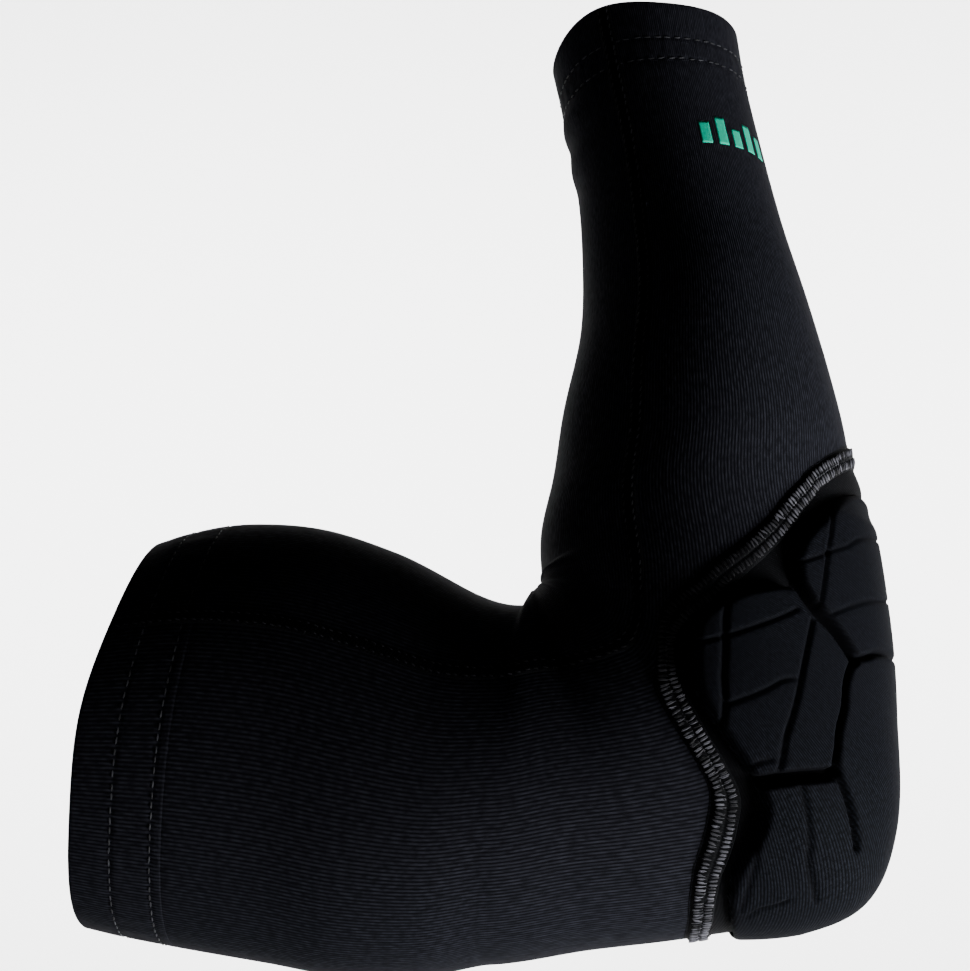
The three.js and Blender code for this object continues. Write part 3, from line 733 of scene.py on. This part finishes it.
# %% Height of the foam
RIM_ROUND = 2.6
TOE_LENGTH, TOE_SHARE = 9, 0.45
HEAD_LENGTH, HEAD_SHARE = 10, 0.4
# the sheet goes on below the panel's face outside the rim, in mm
UNDER = -0.35


def foam_height(t, angle):
    """Height over the panel: round at the rim, lower in the grooves and toward both ends."""
    side = np.abs(angle)
    points = plain_points(t, side)
    ends = [(PAD_RIM[0][0], 0)] + PAD_RIM + [(PAD_RIM[-1][0], 0)]
    rim = distance_to(dense_path(ends, 1.5), points)
    edge = np.clip(rim / RIM_ROUND, 0, 1)
    toe = np.clip((PAD_RIM[-1][0] - t) / TOE_LENGTH, 0, 1)
    head = np.clip((t - PAD_RIM[0][0]) / HEAD_LENGTH, 0, 1)
    toe_share = TOE_SHARE + (1 - TOE_SHARE) * toe
    head_share = HEAD_SHARE + (1 - HEAD_SHARE) * head
    rounded = (1 - (1 - edge) ** 2.4) ** 0.6
    height = PAD_HEIGHT * toe_share * head_share * rounded * groove_marks(points)[0]
    inside = side < half_spread(PAD_RIM, t)
    return np.maximum(np.where(inside, height, -rim), UNDER)


tip = foam_height(np.full(1, distance("bend", 0.35)), np.full(1, 30.0))
print("the foam stands", round(float(tip[0]), 1), "mm over the panel")

# %% Pad
# how far the sheet goes past the pad's ends in mm and past its rim in degrees
SPARE_LENGTH, SPARE_ANGLE = 2, 2
PAD_HALF_ANGLE = max(spread for _, spread in PAD_RIM) + 2.5


def pad_place(across, along):
    """A sheet a little larger than the pad, at the foam's height."""
    start, end = PAD_RIM[0][0] - SPARE_LENGTH, PAD_RIM[-1][0] + SPARE_LENGTH
    t = start + (end - start) * along
    angle = (2 * across - 1) * PAD_HALF_ANGLE
    return t, angle, foam_height(t, angle), *cloth_uv(t, angle)


pad, pad_t, pad_angle = grid_piece("moulded_pad", 300, 230, pad_place)
# painted shade: how much each point of the pad is darkened in the grooves and slits
groove_shade = groove_marks(plain_points(pad_t, np.abs(pad_angle)))[1]
pad.data.attributes.new("GrooveShade", "FLOAT", "POINT").data.foreach_set("value", groove_shade)
delete_points(pad, np.abs(pad_angle) > half_spread(PAD_RIM, pad_t) + SPARE_ANGLE)
give_thickness(pad, 0.5)
file_piece(pad, pad_cover, "elbow_pad")

# %% [markdown]
# ## Strips along a path
# A flat seam is a ribbon of thread over two raw edges. Both seams use the same strip: a grid whose
# rows follow a path on the sleeve and whose columns run across it.

# %% Strip and its sideways directions
def rightward(path, closed):
    """How far t and angle change for one millimetre to the right of a path."""
    t, angle = path[:, 0], path[:, 1]
    points = plain_points(t, angle)
    if closed:
        run = np.roll(points, -1, axis=0) - np.roll(points, 1, axis=0)
    else:
        run = np.gradient(points, axis=0)
    run /= np.linalg.norm(run, axis=1, keepdims=True)
    right = np.cross(run, outward(t, angle))
    along = plain_points(t + 0.5, angle) - plain_points(t - 0.5, angle)
    around = plain_points(t, angle + 0.5) - plain_points(t, angle - 0.5)
    return np.stack([
        (right * along).sum(axis=1) / (along * along).sum(axis=1),
        (right * around).sum(axis=1) / (around * around).sum(axis=1),
    ], axis=1)


def strip_piece(name, path, closed, width, columns, profile):
    """A ribbon along the path. profile(side, row) gives its height; all in millimetres."""
    turn = rightward(path, closed)
    if closed:
        path, turn = np.vstack([path, path[:1]]), np.vstack([turn, turn[:1]])
    rows = np.arange(len(path))

    def place(across, along):
        row, side = along * (len(path) - 1), (across - 0.5) * width
        t = np.interp(row, rows, path[:, 0]) + np.interp(row, rows, turn[:, 0]) * side
        angle = np.interp(row, rows, path[:, 1]) + np.interp(row, rows, turn[:, 1]) * side
        return t, angle, profile(side, row), side * MM, row * MM

    strip, _, _ = grid_piece(name, columns, len(path) - 1, place)
    if closed:
        merge_ends(strip)
    return strip


print("strip ready")

# %% [markdown]
# ## Stitches
# A stitch on a flat seam is a short loop of thread that dives into the cloth at both ends. A few
# hundred curves would be slow, so one stitch is modelled from a small sphere, drawn out to a grain,
# and its points are repeated at every place, each with its own length, turn and tone.

# %% One stitch, repeated
chance = np.random.default_rng(7)


def stitch_shape():
    """A five-sided grain one unit long and one unit thick, its back bowed."""
    deselect()
    bpy.ops.mesh.primitive_uv_sphere_add(segments=5, ring_count=6, radius=0.5)
    grain = bpy.context.object
    bpy.ops.transform.rotate(value=math.pi / 2, orient_axis="Y", center_override=(0, 0, 0))
    bpy.ops.object.transform_apply(location=True, rotation=True, scale=True)
    points = np.array([v.co for v in grain.data.vertices])
    faces = [tuple(p.vertices) for p in grain.data.polygons]
    bpy.data.objects.remove(grain)
    return points, faces


GRAIN_POINTS, GRAIN_FACES = stitch_shape()
print("a stitch has", len(GRAIN_FACES), "faces")


# %% Sewing a row
# how far the painted shade on the thread takes to fade in, in mm, and how much of its tone it then
# takes away
SHADE_FADE, SHADE_DEPTH = 8, 0.9


def sew(name, path, side, pitch, size, lift, turn=0, threads=1, wander=0.1, shade_stretch=(-20, -10)):
    """Stitches every pitch mm at a side of the path. size: length and thickness of a thread in mm.
    turn: degrees from across the path to along it. threads lie side by side in each stitch.
    The last argument gives the stretch of t in which the thread's tone is painted dark, as painted
    shade."""
    right = rightward(path, False)
    points = plain_points(path[:, 0], path[:, 1])
    run = np.concatenate([[0], np.cumsum(np.linalg.norm(np.diff(points, axis=0), axis=1))])
    count = int(run[-1] / pitch)
    at = (np.arange(count) + 0.5 + chance.uniform(-0.15, 0.15, count)) * pitch
    along = np.interp(at, run, path[:, 0])
    # painted shade: inside the given stretch of t the stitches' tone is darkened, fading in at both
    # ends
    from_start = np.clip((along - shade_stretch[0]) / SHADE_FADE, 0, 1)
    from_end = np.clip((shade_stretch[1] - along) / SHADE_FADE, 0, 1)
    seam_shade = SHADE_DEPTH * from_start * from_end
    tone = np.repeat(chance.beta(1.6, 2.2, count) * (1 - seam_shade), threads)
    lean = np.radians(np.repeat(turn + 60 * wander * chance.normal(0, 1, count), threads))
    beside = np.tile((np.arange(threads) - (threads - 1) / 2) * size[1] * 0.7, count)
    total = count * threads
    at = np.repeat(at, threads) + beside
    offset = side + chance.normal(0, wander, total)

    def spot(place):
        aside = [np.interp(at, run, right[:, k]) * offset for k in (0, 1)]
        return [np.interp(place, run, path[:, k]) + aside[k] for k in (0, 1)]

    here, ahead = spot(at), spot(at + 0.5)
    centre = cloth_points(*here, lift + chance.normal(0, 0.05, total))
    up = outward(*here)
    forward = plain_points(*ahead) - plain_points(*here)
    forward /= np.linalg.norm(forward, axis=1, keepdims=True)
    sideways = np.cross(forward, up)
    long_axis = sideways * np.cos(lean)[:, None] + forward * np.sin(lean)[:, None]
    lengths = size[0] * chance.normal(1, wander, total)
    axes = [long_axis * lengths[:, None], np.cross(up, long_axis) * size[1], up * size[1]]
    cloud = centre[:, None] + sum(GRAIN_POINTS[:, k:k + 1] * axes[k][:, None] for k in range(3))
    grain = len(GRAIN_POINTS)
    faces = [tuple(i + k * grain for i in face) for k in range(total) for face in GRAIN_FACES]
    mesh = bpy.data.meshes.new(name)
    mesh.from_pydata((cloud.reshape(-1, 3) * MM).tolist(), [], faces)
    mesh.attributes.new("Tone", "FLOAT", "POINT").data.foreach_set("value", np.repeat(tone, grain))
    piece = bpy.data.objects.new(name, mesh)
    bpy.context.scene.collection.objects.link(piece)
    return piece


print("ready to sew")

# %% [markdown]
# ## The panel seam
# The panel is joined to the tube by a wide flat seam. From the outside it reads as a ladder: two
# rows of short cross threads with a dark line between them, and a black gutter on the tube's side
# where the cloth dives under. A dark ribbon carries the two rows. Beside the elbow the seam turns
# tightly, and there the thread's tone is painted dark, as painted shade.

# %% Panel seam
SEAM_WIDTH = 7
# from the panel's side to the tube's: the two thread rows, the line between them, the gutter
ROW_SIDES, ROW_WIDTHS = (-1.75, 0.95), (2.3, 2.7)
SPLIT_SIDE, GUTTER_SIDE = -0.5, 2.75
# from one rung to the next, thickness of a thread, height of the rows over the cloth
RUNG_PITCH, RUNG_THREAD, RUNG_LIFT = 1.25, 0.46, 1.1


def seam_profile(side, row):
    """A low dome with a shallow line between the thread rows and a gutter beside the tube."""
    dome = 1.2 * np.sqrt(np.clip(1 - (side / (SEAM_WIDTH / 2)) ** 2, 0, 1)) + 0.05
    gutter = 0.8 * np.exp(-((side - GUTTER_SIDE) / 0.6) ** 2)
    split = 0.3 * np.exp(-((side - SPLIT_SIDE) / 0.3) ** 2)
    return dome - gutter - split


# the ribbon is in the panel's twill, whose dark colour is partly painted shade
ribbon = strip_piece("panel_seam_ribbon", seam_path, True, SEAM_WIDTH, 24, seam_profile)
give_thickness(ribbon, 0.6)
file_piece(ribbon, panel_twill_shaded, "panel_seam")
loop = np.vstack([seam_path, seam_path[:1]])
# painted shade: beside the elbow, the stretch where the seam thread's tone is darkened
shaded_turn = (distance("bend", 0.03), distance("bend", 0.535))
for number, (side, reach) in enumerate(zip(ROW_SIDES, ROW_WIDTHS), 1):
    name, size = f"panel_seam_row_{number}", (reach, RUNG_THREAD)
    row = sew(name, loop, side, RUNG_PITCH, size, RUNG_LIFT, threads=2, shade_stretch=shaded_turn)
    file_piece(row, ladder_thread)

# %% [markdown]
# ## The arm seam
# The tube itself is closed by a narrower flat seam that runs the whole length of the arm. It is
# made in black thread, so only two dotted rows show.

# %% Arm seam
ARM_SEAM_ANGLE, ARM_SEAM_WIDTH, ARM_SEAM_END = 114, 4.6, 1.2
ARM_ROW_SIDE, ARM_STITCH_PITCH, ARM_STITCH = 1.3, 2.4, (1.5, 0.5)
arm_places = np.linspace(ARM_SEAM_END, SLEEVE_LENGTH - ARM_SEAM_END, 300)
arm_path = np.stack([arm_places, np.full_like(arm_places, ARM_SEAM_ANGLE)], axis=1)


def arm_seam_profile(side, row):
    """A low dome, the same all along the arm."""
    return 0.55 * np.sqrt(np.clip(1 - (side / (ARM_SEAM_WIDTH / 2)) ** 2, 0, 1)) + 0.02


arm_ribbon = strip_piece("arm_seam_ribbon", arm_path, False, ARM_SEAM_WIDTH, 10, arm_seam_profile)
give_thickness(arm_ribbon, 0.5)
file_piece(arm_ribbon, panel_twill_shaded, "arm_seam")
for number, side in enumerate((-ARM_ROW_SIDE, ARM_ROW_SIDE), 1):
    name = f"arm_seam_row_{number}"
    row = sew(name, arm_path, side, ARM_STITCH_PITCH, ARM_STITCH, 0.55, turn=72, wander=0.06)
    file_piece(row, dark_thread)

# %% [markdown]
# ## Hem stitches
# Each hem is held by two lines of dark grey stitches, two millimetres long, that sink into the
# dents made above.

# %% Hem stitches
HEM_PITCH, HEM_STITCH, HEM_LIFT = 3.1, (2.0, 0.42), -0.05
around = np.arange(0, 361, 2.0)
HEM_ENDS = [("wrist", 0, 1, WRIST_LINES), ("upper_arm", SLEEVE_LENGTH, -1, UPPER_ARM_LINES)]
for end, rim, sign, lines in HEM_ENDS:
    for number, line in enumerate(lines, 1):
        ring = np.stack([np.full_like(around, rim + sign * line), around], axis=1)
        name = f"{end}_hem_stitches_{number}"
        row = sew(name, ring, 0, HEM_PITCH, HEM_STITCH, HEM_LIFT, turn=90, wander=0.05)
        file_piece(row, hem_thread)

# %% [markdown]
# ## The print
# A small ink print sits near the wrist. Here it is a plain row of upright bars, laid on the cloth
# as thin sheets that follow its curve.

# %% Print bars: angle of the left edge, height in mm
BARS = [(72, 7), (61, 9), (50, 6), (39, 9), (28, 7)]
BAR_FOOT, BAR_SPREAD = 0.715, 6.5
INK_HEIGHT, INK_THICKNESS = 0.12, 0.1

bars = []
for angle, tall in BARS:
    foot = distance("forearm", BAR_FOOT)

    def bar_place(across, along, angle=angle, tall=tall):
        t = foot - tall * (1 - along)
        at = angle + BAR_SPREAD * (across - 1)
        return t, at, np.full_like(t, INK_HEIGHT), across, along

    bar, _, _ = grid_piece("print_bar", 8, 10, bar_place)
    give_thickness(bar, INK_THICKNESS)
    bars.append(bar)
deselect()
for bar in bars:
    bar.select_set(True)
bpy.context.view_layer.objects.active = bars[0]
bpy.ops.object.join()
bars[0].name = bars[0].data.name = "print_bars"
file_piece(bars[0], ink)

# %% [markdown]
# ## The cloth before it was worn
# Both cloths are cut smaller than the arm and are held stretched. Off the arm the tube is about
# 330 mm long and 300 mm round at its wide end, less the elbow's cut-out; the panel is a shield
# of 170 by 150 mm.


# %% [markdown]
# ## Studio
# The sleeve is held up by the arm that wears it, so it hangs free over a pale floor that sweeps up
# into a backdrop. The camera looks up a little from the front. Black cloth shows its form only by
# where light reaches it, so one small soft light stands low on the right, as the bright underside
# of the upper arm asks. A weak one fills the front, and two more light nothing but the backdrop.

# %% Paper sweep
# in metres: width and depth of the paper, its middle, height of floor and wall, width of the curve
PAPER_SIZE, PAPER_MIDDLE = (9, 5), -0.6
FLOOR_HEIGHT, WALL_HEIGHT, SWEEP_CURVE = -0.9, 4.5, 0.9

deselect()
bpy.ops.mesh.primitive_plane_add(size=1, location=(0, 0, 0))
sweep = bpy.context.object
sweep.name = "paper_sweep"
bpy.ops.object.mode_set(mode="EDIT")
bpy.ops.mesh.select_all(action="SELECT")
bpy.ops.transform.resize(value=(*PAPER_SIZE, 1))
bpy.ops.transform.translate(value=(0, PAPER_MIDDLE, FLOOR_HEIGHT))
bpy.ops.mesh.select_all(action="DESELECT")
bpy.ops.object.mode_set(mode="OBJECT")
for edge in sweep.data.edges:
    edge.select = all(sweep.data.vertices[i].co.y > PAPER_MIDDLE for i in edge.vertices)
bpy.ops.object.mode_set(mode="EDIT")
bpy.ops.mesh.select_mode(type="EDGE")
bpy.ops.mesh.extrude_region_move(TRANSFORM_OT_translate={"value": (0, 0, WALL_HEIGHT)})
bpy.ops.object.mode_set(mode="OBJECT")
curve = sweep.modifiers.new("Curve", "BEVEL")
curve.width, curve.segments = SWEEP_CURVE, 24
bpy.context.view_layer.objects.active = sweep
bpy.ops.object.modifier_apply(modifier="Curve")
bpy.ops.object.shade_smooth()
# Uncoated white paper: an even pale ground without any gloss.
paper, _, surface = new_finish("matt_studio_paper_white", Roughness=0.9)
surface.inputs["Base Color"].default_value = linear("#f4f4f4")
sweep.data.materials.append(paper)
print("paper sweep with", len(sweep.data.polygons), "faces")

# %% Camera
CENTRE = Vector((-63, 0, 78)) * MM
VIEW_AZIMUTH, VIEW_ELEVATION, VIEW_DISTANCE = 5, -16, 700 * MM
FOCAL_PIXELS, PHOTO_WIDTH, SHIFT_PIXELS = 2380, 970, 6

camera = bpy.data.objects.new("camera", bpy.data.cameras.new("camera"))
bpy.context.scene.collection.objects.link(camera)
bpy.context.scene.camera = camera
azimuth, elevation = math.radians(VIEW_AZIMUTH), math.radians(VIEW_ELEVATION)
toward_camera = Vector((
    math.sin(azimuth) * math.cos(elevation),
    -math.cos(azimuth) * math.cos(elevation),
    math.sin(elevation),
))
camera.location = CENTRE + toward_camera * VIEW_DISTANCE
camera.rotation_euler = toward_camera.to_track_quat("Z", "Y").to_euler()
camera.data.sensor_fit = "HORIZONTAL"
camera.data.lens = FOCAL_PIXELS * camera.data.sensor_width / PHOTO_WIDTH
camera.data.shift_x = SHIFT_PIXELS / PHOTO_WIDTH
print("camera at", [round(c, 3) for c in camera.location])


# %% Lights
def soft_light(name, place, size, power, aim=CENTRE):
    """A square area light that faces the sleeve or another aim. size in metres, power in watts."""
    light = bpy.data.objects.new(name, bpy.data.lights.new(name, "AREA"))
    light.data.size = size
    light.data.energy = power
    light.location = place
    light.rotation_euler = (light.location - aim).to_track_quat("Z", "Y").to_euler()
    bpy.context.scene.collection.objects.link(light)


soft_light("key_low_right", Vector((0.62, -0.1, -0.38)), 0.35, 28)
soft_light("fill_front", Vector((0.1, -1.6, 0.3)), 1.2, 0.7)
for name, side in (("wall_wash_left", -0.9), ("wall_wash_right", 0.7)):
    soft_light(name, Vector((side, 0.7, 0.7)), 1.2, 92, Vector((side, 2, 0.7)))

world = bpy.data.worlds.new("dim_room")
world.use_nodes = True
world.node_tree.nodes["Background"].inputs["Color"].default_value = linear("#ffffff")
world.node_tree.nodes["Background"].inputs["Strength"].default_value = 0.02
bpy.context.scene.world = world
